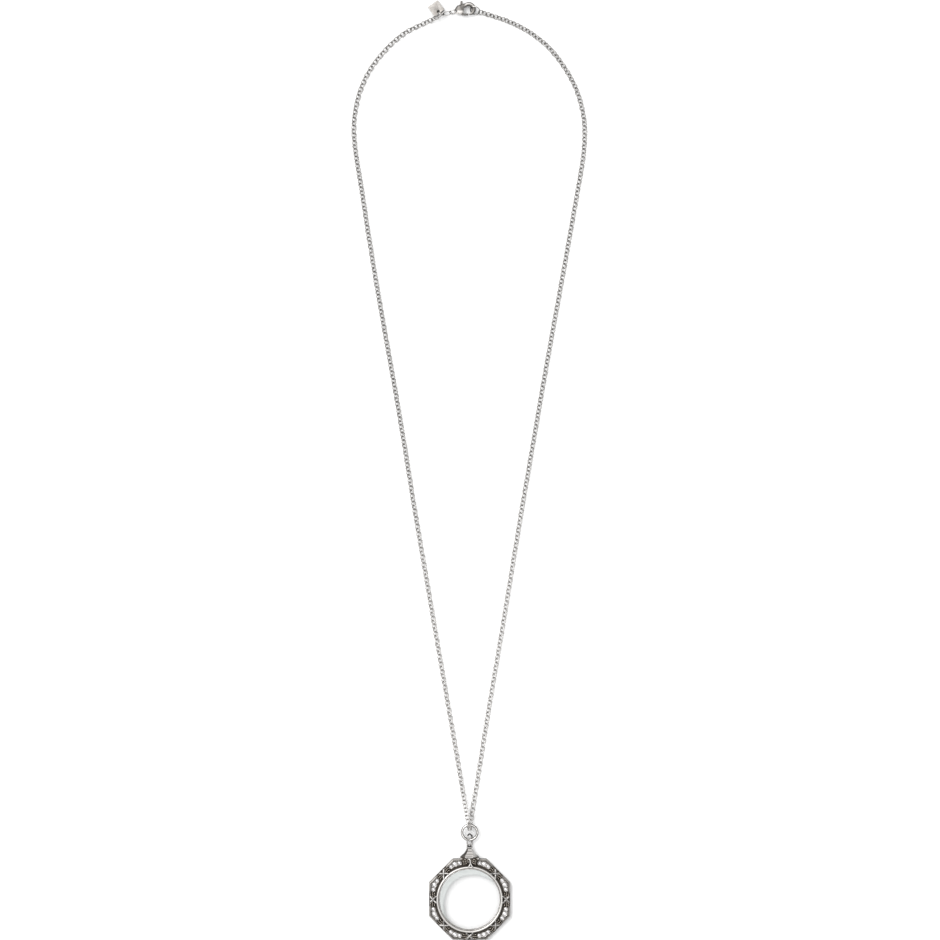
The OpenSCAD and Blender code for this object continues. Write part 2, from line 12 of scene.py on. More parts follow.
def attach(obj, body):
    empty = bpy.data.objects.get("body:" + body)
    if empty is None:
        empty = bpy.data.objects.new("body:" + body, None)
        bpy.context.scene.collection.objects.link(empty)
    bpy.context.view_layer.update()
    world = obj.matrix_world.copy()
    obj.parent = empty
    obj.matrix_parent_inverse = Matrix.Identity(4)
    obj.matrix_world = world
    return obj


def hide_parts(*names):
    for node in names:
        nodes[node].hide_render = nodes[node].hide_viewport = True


MM = 0.001
LENS_Y = -214.64  # the lens's centre, in millimetres
PENDANT = Vector((0.0, LENS_Y, 0.0)) * MM
SIDES = 8         # of the pendant's frame
SIDE_ANGLE = 45
BODY = "necklace"

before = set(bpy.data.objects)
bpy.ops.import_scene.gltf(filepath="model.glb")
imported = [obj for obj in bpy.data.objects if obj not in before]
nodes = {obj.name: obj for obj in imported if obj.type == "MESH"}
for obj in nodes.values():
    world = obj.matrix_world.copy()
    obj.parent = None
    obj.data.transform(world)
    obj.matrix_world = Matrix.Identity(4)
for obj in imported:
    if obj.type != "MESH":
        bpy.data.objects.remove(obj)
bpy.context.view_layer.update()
STONES = [name for name in nodes if name.startswith(("corner_stone", "flank_stone"))]


# Camera, floor and light

VIEW_HEIGHT = 1.6
VIEW_WIDTH = 0.470  # 940 pixels of 0.5 mm
VIEW_MIDDLE = (0.0002, -0.00025)
SUN_FROM = Vector((-0.7, 0.6, 0.8))   # the light comes from the upper left
TENT_FROM = Vector((-0.7, 0.6, 0.4))  # and the tent is lighter there
FLOOR_Z = -0.02 * MM                  # just under the necklace

# The light tent: its tone by height over the surface, dark at its foot
SKY_STOPS = [(0.0, (0.10, 0.10, 0.10)), (0.25, (0.24, 0.24, 0.24)), (0.5, (0.86, 0.86, 0.86)),
             (0.72, (1.4, 1.4, 1.4)), (1.0, (1.3, 1.3, 1.3))]


def set_camera():
    camera = bpy.data.cameras.new("camera")
    camera.sensor_width = 36
    camera.lens = 36 * VIEW_HEIGHT / VIEW_WIDTH
    camera.clip_end = 20
    holder = bpy.data.objects.new("camera", camera)
    holder.location = (*VIEW_MIDDLE, VIEW_HEIGHT)
    bpy.context.scene.collection.objects.link(holder)
    bpy.context.scene.camera = holder


def set_light():
    sun = bpy.data.lights.new("softbox", "SUN")
    sun.energy = 2.6
    sun.angle = math.radians(50)
    holder = bpy.data.objects.new("softbox", sun)
    holder.rotation_euler = SUN_FROM.to_track_quat("Z", "Y").to_euler()
    bpy.context.scene.collection.objects.link(holder)

    world = bpy.data.worlds.new("studio")
    bpy.context.scene.world = world
    world.use_nodes = True
    sky = Nodes(world.node_tree)
    way = sky.node("ShaderNodeTexCoord", output="Generated")
    height = sky.node("ShaderNodeSeparateXYZ", inputs={0: way}, output="Z")
    lean = sky.node("ShaderNodeVectorMath", {"operation": "DOT_PRODUCT"},
                    {0: way, 1: TENT_FROM.normalized()}, output="Value")
    tent = sky.node("ShaderNodeValToRGB", {"stops": SKY_STOPS}, {"Fac": height})
    tone = sky.node("ShaderNodeMix", {"data_type": "RGBA", "blend_type": "MULTIPLY"},
                    {0: 1.0, 6: tent, 7: lean * 0.28 + 1.0}, output=2)
    sky.put(sky.first("BACKGROUND").inputs["Color"], tone)

    view = bpy.context.scene.view_settings
    view.view_transform = "Standard"
    view.look = "None"


# Materials

class Value:
    """A number in a material's node tree: sums and products on it add Math nodes."""

    def __init__(self, finish, socket):
        self.finish = finish
        self.socket = socket

    def math(self, operation, first, second=None):
        inputs = {0: first} if second is None else {0: first, 1: second}
        return self.finish.node("ShaderNodeMath", {"operation": operation}, inputs)

    def __add__(self, other):
        return self.math("ADD", self, other)

    __radd__ = __add__

    def __mul__(self, other):
        return self.math("MULTIPLY", self, other)

    __rmul__ = __mul__

    def __sub__(self, other):
        return self.math("SUBTRACT", self, other)

    def __rsub__(self, other):
        return self.math("SUBTRACT", other, self)

    def __abs__(self):
        return self.math("ABSOLUTE", self)

    def cosine(self):
        return self.math("COSINE", self)

    def smooth(self, low, high):
        """0 below low, 1 above high, with a soft step between."""
        return self.finish.node("ShaderNodeMapRange", {"interpolation_type": "SMOOTHSTEP"},
                                {"Value": self, "From Min": low, "From Max": high})


class Nodes:
    """A node tree, and the ways to add to it."""

    def __init__(self, tree):
        self.tree = tree

    def first(self, kind):
        return next(n for n in self.tree.nodes if n.type == kind)

    def put(self, socket, value):
        if isinstance(value, Value):
            self.tree.links.new(value.socket, socket)
        else:
            socket.default_value = value

    def node(self, kind, settings=None, inputs=None, output=0):
        made = self.tree.nodes.new(kind)
        for key, value in (settings or {}).items():
            if key == "stops":
                while len(made.color_ramp.elements) < len(value):
                    made.color_ramp.elements.new(0.5)
                for element, (at, colour) in zip(made.color_ramp.elements, value):
                    element.position = at
                    element.color = (*colour, 1)
            else:
                setattr(made, key, value)
        for key, value in (inputs or {}).items():
            self.put(made.inputs[key], value)
        return Value(self, made.outputs[output])


class Finish(Nodes):
    """One material, and the nodes behind its shader."""

    def __init__(self, name, **constants):
        self.material = bpy.data.materials.new(name)
        self.material.use_nodes = True
        super().__init__(self.material.node_tree)
        self.shader = self.first("BSDF_PRINCIPLED")
        for key, value in constants.items():
            self.shader.inputs[key.replace("_", " ")].default_value = value

    def place(self):
        """Object coordinates in millimetres."""
        where = self.node("ShaderNodeTexCoord", output="Object")
        return self.node("ShaderNodeVectorMath", {"operation": "SCALE"}, {0: where, "Scale": 1000.0})

    def axis(self, name):
        return self.node("ShaderNodeSeparateXYZ", inputs={0: self.place()}, output=name)

    def away(self, x, y):
        """Distance from an upright line, in millimetres."""
        out = self.node("ShaderNodeCombineXYZ", inputs={0: self.axis("X") - x, 1: self.axis("Y") - y})
        return self.node("ShaderNodeVectorMath", {"operation": "LENGTH"}, {0: out}, output="Value")

    def facing(self, axis="Z"):
        """1 where the surface faces that way, 0 square to it."""
        normal = self.node("ShaderNodeTexCoord", output="Normal")
        return self.node("ShaderNodeSeparateXYZ", inputs={0: normal}, output=axis)

    def cloud(self, scale, detail=3.0, roughness=0.5):
        return self.node("ShaderNodeTexNoise", inputs={
            "Vector": self.place(), "Scale": scale, "Detail": detail, "Roughness": roughness})

    def mix(self, share, first, second):
        return self.node("ShaderNodeMix", {"data_type": "RGBA"}, {0: share, 6: first, 7: second}, output=2)

    def wear(self, *inputs):
        """Puts each named shader input's value in place."""
        for key, value in inputs:
            self.put(self.shader.inputs[key], value)

    def bump(self, height, distance, strength=1.0):
        normal = self.node("ShaderNodeBump", inputs={
            "Height": height, "Distance": distance, "Strength": strength})
        self.put(self.shader.inputs["Normal"], normal)


# Places where the materials change, in millimetres
RIM_LOW = 2.42          # the frame's rim is light from this height up
RIM_HIGH = 2.62
CROWN_FOOT_Y = -198.2   # the crown's block
CROWN_HALF_W = 4.75
RIDGE_Y = -193.19       # a groove of the cap, and the distance to the next one
RIDGE_PITCH = 0.646
CLAW_X = -0.35          # the claw's middle
CLAW_Y = 230.05
CLASP_BODY_X = -2.0     # the clasp's body lies to the left of this
CLASP_LIGHT_Y = 229.4   # and is painted dark above this, with a painted highlight below
PALER_FROM_Y = 50.0     # the chain gets paler from here
PALER_TO_Y = -100.0     # down to here
LENS_SHADE_X = 2.4      # the painted shadow of the bezel in the lens lies outside this circle
LENS_SHADE_Y = -217.85
LENS_SHADE_R = 15.3


def grey(tone, warmth):
    """A metal's colour: its tone, a little redder and less blue with warmth."""
    return (tone * (1 + warmth), tone, tone * (1 - warmth), 1)


def wire_silver(name, light, dark, rough, top_light_from=0.86, paler=0.0):
    """Polished wire: a painted highlight where it faces up, painted shade down its flanks.

    With paler, it gets lighter towards the pendant.
    """
    finish = Finish(name, Metallic=1.0)
    patches = finish.cloud(0.9, 4.0)
    grain = finish.cloud(7.0, 3.0)
    # Painted highlight where the wire faces up, painted shade down its flanks
    painted_top_light = (finish.facing() + patches * 0.3).smooth(top_light_from, top_light_from + 0.2)
    tone = finish.mix(painted_top_light, grey(dark, 0.05), grey(light, 0.03))
    if paler:
        low = (PALER_FROM_Y - finish.axis("Y")).smooth(0.0, PALER_FROM_Y - PALER_TO_Y)
        tone = finish.mix(low * paler, tone, grey(0.8, 0.03))
    finish.wear(("Base Color", tone), ("Roughness", patches * 0.12 + grain * 0.1 + rough))
    finish.bump(grain, 0.00003, 0.5)
    return finish.material


def aged_silver(name):
    """The frame: satin on the rim with painted shade down its bevel, darker at the sides' middles, dark in
    its hollows.
    """
    finish = Finish(name, Metallic=1.0)
    grain = finish.cloud(5.0, 5.0, 0.6)
    rim = (finish.axis("Z") + grain * 0.25).smooth(RIM_LOW, RIM_HIGH)
    crown = (finish.axis("Y") - CROWN_FOOT_Y).smooth(0.0, 0.1)
    crown = crown * (CROWN_HALF_W - abs(finish.axis("X"))).smooth(0.0, 0.1)
    light = rim * (1.0 - crown)
    # Upward faces get the light satin, the bevel and other flanks a painted shade
    top = finish.facing().smooth(0.6, 0.9)
    satin = finish.mix(finish.cloud(1.2).smooth(0.3, 0.7), grey(0.07, 0.08), grey(0.15, 0.07))
    satin = finish.mix(top, finish.mix(grain.smooth(0.35, 0.65), grey(0.42, 0.06), grey(0.62, 0.04)), satin)
    out = finish.axis("Y") - LENS_Y
    turn = out.math("ARCTAN2", out, finish.axis("X"))
    middles = (turn * SIDES).cosine().smooth(-0.4, 0.6)
    satin = finish.mix(middles * 0.8, satin, grey(0.06, 0.1))
    soot = finish.mix(grain.smooth(0.42, 0.72), grey(0.03, 0.16), grey(0.15, 0.12))
    finish.wear(("Base Color", finish.mix(light, soot, satin)),
                ("Roughness", 0.62 - light * 0.24 + grain * 0.1))
    finish.bump(grain, 0.00006, 0.6)
    return finish.material


def relief_silver(name, low, high):
    """Cast ornament between two heights: dark hollows and worn bright tops."""
    finish = Finish(name, Metallic=1.0)
    grain = finish.cloud(4.0, 4.0, 0.6)
    top = (finish.axis("Z") + grain * 0.3).smooth(low, high)
    soot = finish.mix(grain.smooth(0.4, 0.7), grey(0.05, 0.14), grey(0.2, 0.1))
    finish.wear(("Base Color", finish.mix(top, soot, grey(0.6, 0.06))), ("Roughness", 0.55 - top * 0.2))
    finish.bump(grain, 0.00005, 0.5)
    return finish.material


def leaf_silver(name):
    """Leaves: a painted highlight on their ribs and edges where they face up, painted shade on their
    flanks.
    """
    finish = Finish(name, Metallic=1.0)
    grain = finish.cloud(4.0, 4.0, 0.6)
    # Painted highlight where a leaf faces up, painted shade down its flanks
    painted_top_light = (finish.facing() + grain * 0.25).smooth(0.95, 1.12)
    finish.wear(("Base Color", finish.mix(painted_top_light, grey(0.03, 0.16), grey(0.5, 0.12))),
                ("Roughness", 0.5 - painted_top_light * 0.15))
    finish.bump(grain, 0.00004, 0.5)
    return finish.material


def cap_silver(name):
    """The cap: a mid front, every second groove darker, painted light on the right facet and painted shade
    on the left one.
    """
    finish = Finish(name, Metallic=1.0)
    grain = finish.cloud(5.0, 4.0)
    # Painted light on the right-facing facet, painted shade on the left-facing one
    left = (-1.0 * finish.facing("X")).smooth(0.2, 0.5)
    right = finish.facing("X").smooth(0.2, 0.5)
    turns = (finish.axis("Y") - RIDGE_Y) * (2 * math.pi / RIDGE_PITCH)
    groove = turns.cosine().smooth(-0.3, 0.9)
    second = (turns * 0.5).cosine().smooth(-0.3, 0.8)
    front = finish.mix(second * 0.75, grey(0.52, 0.04), grey(0.1, 0.06))
    front = finish.mix(groove * 0.6, front, grey(0.1, 0.06))
    tone = finish.mix(right, front, grey(0.5, 0.024))
    tone = finish.mix(left, tone, grey(0.06, 0.08))
    finish.wear(("Base Color", tone), ("Roughness", 0.34 + grain * 0.12))
    finish.bump(grain, 0.00004, 0.5)
    return finish.material


def clasp_silver(name):
    """The cast clasp: painted shade above, a painted highlight along its lower edge and on the claw's
    ridge, with painted shade beside it.
    """
    finish = Finish(name, Metallic=1.0)
    grain = finish.cloud(6.0, 5.0, 0.6)
    patches = finish.cloud(0.8, 2.0)
    up = finish.facing() + patches * 0.3
    body = (CLASP_BODY_X - finish.axis("X")).smooth(0.0, 0.8)
    # Painted shade above CLASP_LIGHT_Y, a painted highlight below it along the lower edge
    upper = (finish.axis("Y") + patches * 0.8 - CLASP_LIGHT_Y).smooth(-0.5, 0.6)
    low = finish.mix(up.smooth(0.5, 1.1), grey(0.95, 0.03), grey(0.8, 0.04))
    shell = finish.mix(upper, low, finish.mix(up.smooth(0.6, 1.2), grey(0.07, 0.06), grey(0.15, 0.06)))
    out = finish.away(CLAW_X, CLAW_Y)
    # Painted highlight on the claw's ridge, brighter on its upper part; painted shade inside and outside it
    ridge = out.smooth(2.1, 2.45) * (1.0 - out.smooth(2.75, 3.1))
    top = (finish.axis("Y") - CLAW_Y).smooth(0.3, 1.6)
    claw = finish.mix(ridge, grey(0.1, 0.06), finish.mix(top, grey(0.24, 0.05), grey(0.47, 0.04)))
    finish.wear(("Base Color", finish.mix(body, claw, shell)), ("Roughness", 0.38 + grain * 0.16))
    finish.bump(grain, 0.00004, 0.5)
    return finish.material


def matt_silver(name, tone, dark):
    """Cast or cut metal: satin on top, with painted shade down its flanks."""
    finish = Finish(name, Metallic=1.0)
    grain = finish.cloud(6.0, 5.0, 0.6)
    patches = finish.cloud(0.8, 2.0)
    # Painted shade down the flanks, where the surface turns away from straight up
    painted_top_light = (finish.facing() + patches * 0.3).smooth(0.8, 1.1)
    satin = finish.mix(patches.smooth(0.3, 0.7), grey(tone * 0.8, 0.06), grey(tone, 0.05))
    finish.wear(("Base Color", finish.mix(painted_top_light, grey(dark, 0.06), satin)),
                ("Roughness", 0.36 + grain * 0.18))
    finish.bump(grain, 0.00005, 0.6)
    return finish.material


def lens_glass(name):
    """Clear glass: a faint gloss all over, a painted shadow of the bezel inside its upper left edge, and
    faint painted shade towards its rim.
    """
    finish = Finish(name, Metallic=1.0, Roughness=0.02)
    gloss = finish.node("ShaderNodeFresnel", inputs={"IOR": 1.52})
    # Painted shadow of the bezel: grey outside the LENS_SHADE circle, evened by a paler film near the bezel
    shade = finish.away(LENS_SHADE_X, LENS_SHADE_Y).smooth(LENS_SHADE_R - 0.9, LENS_SHADE_R + 0.9)
    out = finish.away(0.0, LENS_Y)
    painted_shadow_veil = shade * out.smooth(10.5, 13.0)
    # Faint painted shade towards the rim
    painted_rim_shade = out.smooth(8.5, 16.5)
    finish.wear(("Base Color", finish.mix(painted_shadow_veil, (0.32, 0.34, 0.335, 1), (0.68, 0.705, 0.695, 1))),
                ("Alpha", gloss * 0.3 + painted_rim_shade * 0.02 + shade * 0.01 + painted_shadow_veil * 0.48))
    finish.material.surface_render_method = "BLENDED"
    return finish.material


def stone_glass(name):
    """Small clear stones on bright foil: nearly white, with a few grey facets."""
    finish = Finish(name, Metallic=0.6, Coat_Weight=1.0, Coat_Roughness=0.02)
    flash = finish.cloud(2.2, 2.0)
    facets = flash.smooth(0.35, 0.6)
    finish.wear(("Base Color", finish.mix(facets, (0.42, 0.41, 0.43, 1), (0.74, 0.73, 0.73, 1))),
                ("Roughness", 0.08 + flash * 0.1))
    return finish.material


def floor_paper(name):
    finish = Finish(name, Roughness=0.9, Specular_IOR_Level=0.1)
    fibre = finish.cloud(0.4, 2.0)
    finish.wear(("Base Color", finish.mix(fibre, (0.80, 0.80, 0.80, 1), (0.82, 0.82, 0.82, 1)),))
    return finish.material


# Mesh helpers

def placed(name, mesh, material):
    """An object in the scene from a bmesh."""
    data = bpy.data.meshes.new(name)
    mesh.to_mesh(data)
    mesh.free()
    data.materials.append(material)
    made = bpy.data.objects.new(name, data)
    bpy.context.scene.collection.objects.link(made)
    return made


def finished_piece(name, mesh, material, replaced=(), body=BODY):
    """A smooth piece from a bmesh, riding on the necklace or its lever."""
    piece = placed(name, mesh, material)
    for face in piece.data.polygons:
        face.use_smooth = True
    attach(piece, body)
    if replaced:
        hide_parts(*replaced)


def wire_loop(mesh, rows):
    """A closed tube from rows of points, each a ring round the wire."""
    made = [[mesh.verts.new(point) for point in row] for row in rows]
    sides = len(made[0])
    for i, row in enumerate(made):
        after = made[(i + 1) % len(made)]
        for k in range(sides):
            mesh.faces.new((row[k], after[k], after[(k + 1) % sides], row[(k + 1) % sides]))


# The chain: real links along the two routes

# Points from the clasp end to the pendant, in millimetres
LEFT_ROUTE = [
    (-18.1, 225.1, 1.9), (-22, 223.3, 1.1), (-32, 218.4, 1.1), (-41.5, 210.3, 1.1), (-50.2, 199, 1.1),
    (-55.6, 186.5, 1.1), (-57.9, 172, 1.1), (-56.8, 157, 1.1), (-54.2, 141, 1.1), (-51.2, 121, 1.1),
    (-47, 95, 1.1), (-42.3, 68, 1.1), (-37, 38, 1.1), (-32, 8, 1.1), (-27.4, -21, 1.1),
    (-22.3, -51, 1.1), (-17.2, -81, 1.1), (-12.2, -110, 1.1), (-7.5, -137, 1.1), (-3.6, -160, 1.3),
    (-1.9, -170, 3.0), (-0.9, -175, 4.7)]
RIGHT_ROUTE = [
    (6.0, 228.25, 1.65), (9.8, 227.2, 1.1), (20, 223.7, 1.1), (30, 218.5, 1.1), (40, 210.4, 1.1),
    (48.8, 198.6, 1.1), (54.3, 187, 1.1), (57.3, 173, 1.1), (56.9, 158, 1.1), (54.2, 141, 1.1),
    (50.7, 121, 1.1), (46.1, 95, 1.1), (41.2, 68, 1.1), (35.9, 38, 1.1), (30.8, 8, 1.1),
    (25.8, -21, 1.1), (20.9, -51, 1.1), (16, -81, 1.1), (11.1, -110, 1.1), (6.7, -137, 1.1),
    (3.1, -160, 1.1), (1.4, -170, 1.1), (0.7, -175, 1.1)]
PLATE_RING_WIRE = (-14.57, 227.37, 3.34)  # where the left end hooks its ring
PLATE_EDGE = (-16.6, 225.7, 3.1)          # where it passes the plate's corner
END_RING_WIRE = (4.96, 228.43, 1.94)      # where the right end hooks its ring
TURN_Y = -177.4                           # top wire of the pendant ring
TURN_Z = 3.03
TURN_R = 1.9
TURN_X = 0.1                              # to the left and right of the middle
TURN_STEPS = 8
TUBE_R = 1.1
LINK_L = 2.96
LINK_W = 2.8
LINK_WIRE = 0.25
LINK_ROLL = 33    # degrees from lying flat, one way and the other in turn
LINK_PITCH = 1.94
HOOK = 0.68       # from a ring's wire to the middle of the link round it
LINK_STEPS = 24
LINK_SIDES = 8
LINK_TWIST = 20   # degrees, a slow turn along the chain
LINK_JITTER = 9   # degrees, from link to link
LINK_SWAY = 0.09  # to one side and the other
CALM_ENDS = 8     # links over which these fade out at each end


def chain_route():
    """The whole route, from the plate ring round the pendant ring to the end ring."""
    turn = []
    for k in range(TURN_STEPS + 1):
        share = k / TURN_STEPS
        a = math.radians(90 + 180 * share)
        x = TURN_X * (2 * share - 1)
        turn.append((x, TURN_Y + TURN_R * math.cos(a), TURN_Z + TURN_R * math.sin(a)))
    points = [PLATE_RING_WIRE, PLATE_EDGE] + LEFT_ROUTE + turn + RIGHT_ROUTE[::-1] + [END_RING_WIRE]
    return [Vector(p) for p in points]


def smooth_route(points, steps=12):
    """Catmull-Rom between the points, with a spacing that follows their distances."""
    route = []
    for i in range(len(points) - 1):
        a, b, c, d = (points[max(i - 1, 0)], points[i], points[i + 1], points[min(i + 2, len(points) - 1)])
        span = (c - b).length
        before = (c - a) / max((b - a).length + span, 1e-6) * span
        after = (d - b) / max((d - c).length + span, 1e-6) * span
        for k in range(steps):
            t = k / steps
            route.append((2 * t**3 - 3 * t**2 + 1) * b + (t**3 - 2 * t**2 + t) * before
                         + (3 * t**2 - 2 * t**3) * c + (t**3 - t**2) * after)
    route.append(points[-1])
    return route


def walk(route):
    """Evenly spaced places on the route, with their directions."""
    lengths = [0.0]
    for a, b in zip(route, route[1:]):
        lengths.append(lengths[-1] + (b - a).length)
    usable = lengths[-1] - 2 * HOOK
    count = round(usable / LINK_PITCH) + 1
    count += count % 2
    pitch = usable / (count - 1)
    places = []
    at = 0
    for i in range(count):
        s = HOOK + i * pitch
        while lengths[at + 1] < s and at < len(route) - 2:
            at += 1
        share = (s - lengths[at]) / (lengths[at + 1] - lengths[at])
        places.append((route[at].lerp(route[at + 1], share), (route[at + 1] - route[at]).normalized(), s))
    return places


def link_mesh(mesh, middle, way, roll):
    """One oval link, its long axis along way, rolled about it."""
    side = Vector((0, 0, 1)).cross(way).normalized()
    up = way.cross(side)
    across = math.cos(roll) * side + math.sin(roll) * up
    out = way.cross(across)
    half_l = LINK_L / 2 - LINK_WIRE
    half_w = LINK_W / 2 - LINK_WIRE
    rows = []
    for i in range(LINK_STEPS):
        a = 2 * math.pi * i / LINK_STEPS
        spoke = (math.cos(a) * half_l * way + math.sin(a) * half_w * across)
        away = (math.cos(a) * half_w * way + math.sin(a) * half_l * across).normalized()
        row = []
        for k in range(LINK_SIDES):
            b = 2 * math.pi * k / LINK_SIDES
            row.append((middle + spoke + LINK_WIRE * (math.cos(b) * away + math.sin(b) * out)) * MM)
        rows.append(row)
    wire_loop(mesh, rows)


def make_chain(material):
    """Two pieces of links. Where the route lies on the surface, each link rests on its lowest wire."""
    places = walk(smooth_route(chain_route()))
    turn_at = min(range(len(places)), key=lambda i: places[i][0].y)
    halves = {"left_links": bmesh.new(), "right_links": bmesh.new()}
    last = len(places) - 1
    for i, (middle, way, s) in enumerate(places):
        ends = min(1.0, i / CALM_ENDS, (last - i) / CALM_ENDS)
        twist = math.radians(LINK_TWIST) * noise.noise(Vector((s * 0.012, 3.1, 0))) * ends
        jitter = math.radians(LINK_JITTER) * noise.noise(Vector((s * 0.9, 7.7, 0))) * ends
        roll = math.radians(LINK_ROLL if i % 2 == 0 else -LINK_ROLL) + twist + jitter
        lowest = LINK_WIRE + (LINK_W / 2 - LINK_WIRE) * abs(math.sin(roll))
        sway = Vector((0, 0, 1)).cross(way) * LINK_SWAY * noise.noise(Vector((s * 0.35, 1.3, 5.0))) * ends
        lying = middle.z < TUBE_R + 0.05
        settled = middle + sway + Vector((0, 0, lowest - TUBE_R if lying else 0))
        link_mesh(halves["left_links" if i <= turn_at else "right_links"], settled, way, roll)
    finished_piece("left_links", halves["left_links"], material, ["chain_left"])
    finished_piece("right_links", halves["right_links"], material, ["chain_right"])


# Ornament: settings, crossed ribbons and leaves round the lens, and the crown's relief.
# Places on the pendant are in millimetres: out from the lens's centre, along the side, up.

CORNER_AT = 19.05      # the corner stones, out from the centre
FLANK_AT = 18.8        # the flank stones
FLANK_ANGLE = 7.3      # degrees from a corner stone to a flank stone
CORNER_R = 1.12
FLANK_R = 0.9
SETTING_TOP = 2.4
SETTING_WIRE = 0.18
GRAIN_R = 0.38         # the grains between the stones
GRAIN_OUT = 0.78
GRAIN_SHARE = 0.53     # of the way from a corner stone to a flank stone
END_GRAIN_R = 0.22     # the grain at the end of a row
END_GRAIN_ANGLE = 3.6
LINE_R = 15.25         # the fine line inside the bezel
LINE_TOP = 2.95
LINE_WIRE = 0.2
CROWN_SIDE = 2         # the side that carries the crown, counted from +X
CROSS_LIFT = 0.12      # one crossed ribbon passes over the other
CROSS_RIBBON = [(16.25, 1.75, 3.55), (16.85, 1.35, 3.4), (17.5, 0.85, 2.95), (18.35, 0, 2.85),
                (19.3, -1.05, 2.65), (20.0, -1.7, 2.3)]
LEAF_W = 1.15
LEAF_UP = 2.25         # the leaves beside the ribbons
SIDE_LEAVES = [  # out, along, heading from the side's direction, length
    (17.6, 1.75, 70, 1.9), (17.5, 2.95, 100, 1.8), (18.45, 1.3, 50, 1.7), (18.55, 2.4, 80, 2.0),
    (18.5, 3.3, 110, 1.6), (19.45, 0.9, 115, 1.8), (19.5, 2.2, 75, 2.0), (19.45, 3.2, 100, 1.5),
    (17.4, 0.75, 40, 1.4)]


def on_side(angle, out, along, up):
    """A place out from the lens's centre in the direction of angle, in the pendant's frame."""
    a = math.radians(angle)
    return Vector((out * math.cos(a) - along * math.sin(a), out * math.sin(a) + along * math.cos(a), up))


def leaf(mesh, at, heading, length, height):
    """A pointed, domed leaf with a raised rib."""
    steps = 8
    across = 6
    turned = Matrix.Rotation(math.radians(heading), 3, "Z")
    rows = []
    for i in range(steps + 1):
        t = i / steps
        half = LEAF_W / 2 * math.sin(math.pi * t) ** 0.8 * (1 - 0.25 * t)
        row = []
        for k in range(across + 1):
            u = 2 * k / across - 1
            rib = 0.25 * height * math.sin(math.pi * t) if k == across // 2 else 0
            z = height * math.sin(math.pi * min(1, t * 1.05)) ** 0.5 * (1 - abs(u) ** 1.6) + rib
            point = turned @ Vector(((t - 0.5) * length, u * half, z)) + Vector(at)
            row.append(mesh.verts.new(PENDANT + point * MM))
        rows.append(row)
    for a, b in zip(rows, rows[1:]):
        for k in range(across):
            mesh.faces.new((a[k], b[k], b[k + 1], a[k + 1]))


def ribbon(mesh, points, width, height):
    """A half-round ribbon laid along points, narrower at its ends."""
    route = smooth_route([Vector(p) for p in points], 6)
    sides = 6
    rows = []
    for i, point in enumerate(route):
        way = (route[min(i + 1, len(route) - 1)] - route[max(i - 1, 0)]).normalized()
        side = Vector((0, 0, 1)).cross(way).normalized()
        taper = min(1.0, 0.45 + 0.3 * min(i, len(route) - 1 - i))
        row = []
        for k in range(sides + 1):
            a = math.pi * k / sides
            offset = side * math.cos(a) * width / 2 * taper + Vector((0, 0, math.sin(a) * height * taper))
            row.append(mesh.verts.new(PENDANT + (point + offset) * MM))
        rows.append(row)
    for a, b in zip(rows, rows[1:]):
        for k in range(sides):
            mesh.faces.new((a[k], a[k + 1], b[k + 1], b[k]))
    for row in (rows[0], rows[-1]):
        mesh.faces.new(row)


def ball(mesh, middle, radius, around, down):
    """A sphere in metres: a point at each pole, and rings of points between them.

    Its faces come in the same order on each run, which the bmesh operator's don't.
    """
    top, bottom = (mesh.verts.new(middle + Vector((0, 0, z))) for z in (radius, -radius))
    rings = []
    for i in range(1, down):
        a = math.pi * i / down
        ring = []
        for k in range(around):
            b = 2 * math.pi * k / around
            spoke = Vector((math.sin(a) * math.sin(b), math.sin(a) * math.cos(b), math.cos(a)))
            ring.append(mesh.verts.new(middle + radius * spoke))
        rings.append(ring)
    for k in range(around):
        after = (k + 1) % around
        mesh.faces.new((top, rings[0][after], rings[0][k]))
        for a, b in zip(rings, rings[1:]):
            mesh.faces.new((a[after], b[after], b[k], a[k]))
        mesh.faces.new((bottom, rings[-1][k], rings[-1][after]))


def bead(mesh, at, radius):
    ball(mesh, PENDANT + Vector(at) * MM, radius * MM, around=10, down=6)


def collet(mesh, at, radius, wire, steps=28, sides=6):
    """A thin bright ring, such as the edge of the metal round a stone."""
    rows = []
    for i in range(steps):
        a = 2 * math.pi * i / steps
        spoke = Vector((math.cos(a), math.sin(a), 0))
        rows.append([PENDANT + (Vector(at) + spoke * (radius + wire * math.cos(b)) +
                                Vector((0, 0, wire * math.sin(b)))) * MM
                     for b in (2 * math.pi * k / sides for k in range(sides))])
    wire_loop(mesh, rows)


def make_settings(material):
    mesh = bmesh.new()
    for corner in range(SIDES):
        angle = SIDE_ANGLE * (corner + 0.5)
        collet(mesh, on_side(angle, CORNER_AT, 0, SETTING_TOP), CORNER_R, SETTING_WIRE)
        for way in (-1, 1):
            flank = on_side(angle + way * FLANK_ANGLE, FLANK_AT, 0, SETTING_TOP)
            collet(mesh, flank, FLANK_R, SETTING_WIRE)
            between = angle + way * FLANK_ANGLE * GRAIN_SHARE
            for out in (-GRAIN_OUT, GRAIN_OUT):
                bead(mesh, on_side(between, (CORNER_AT + FLANK_AT) / 2 + out, 0, SETTING_TOP), GRAIN_R)
            outside = angle + way * (FLANK_ANGLE + END_GRAIN_ANGLE)
            bead(mesh, on_side(outside, FLANK_AT, 0, SETTING_TOP - 0.25), END_GRAIN_R)
    finished_piece("stone_settings", mesh, material)


def make_bezel_line(material):
    """The fine bright line inside the bezel's bead."""
    mesh = bmesh.new()
    collet(mesh, (0, 0, LINE_TOP), LINE_R, LINE_WIRE, steps=128)
    finished_piece("bezel_line", mesh, material)


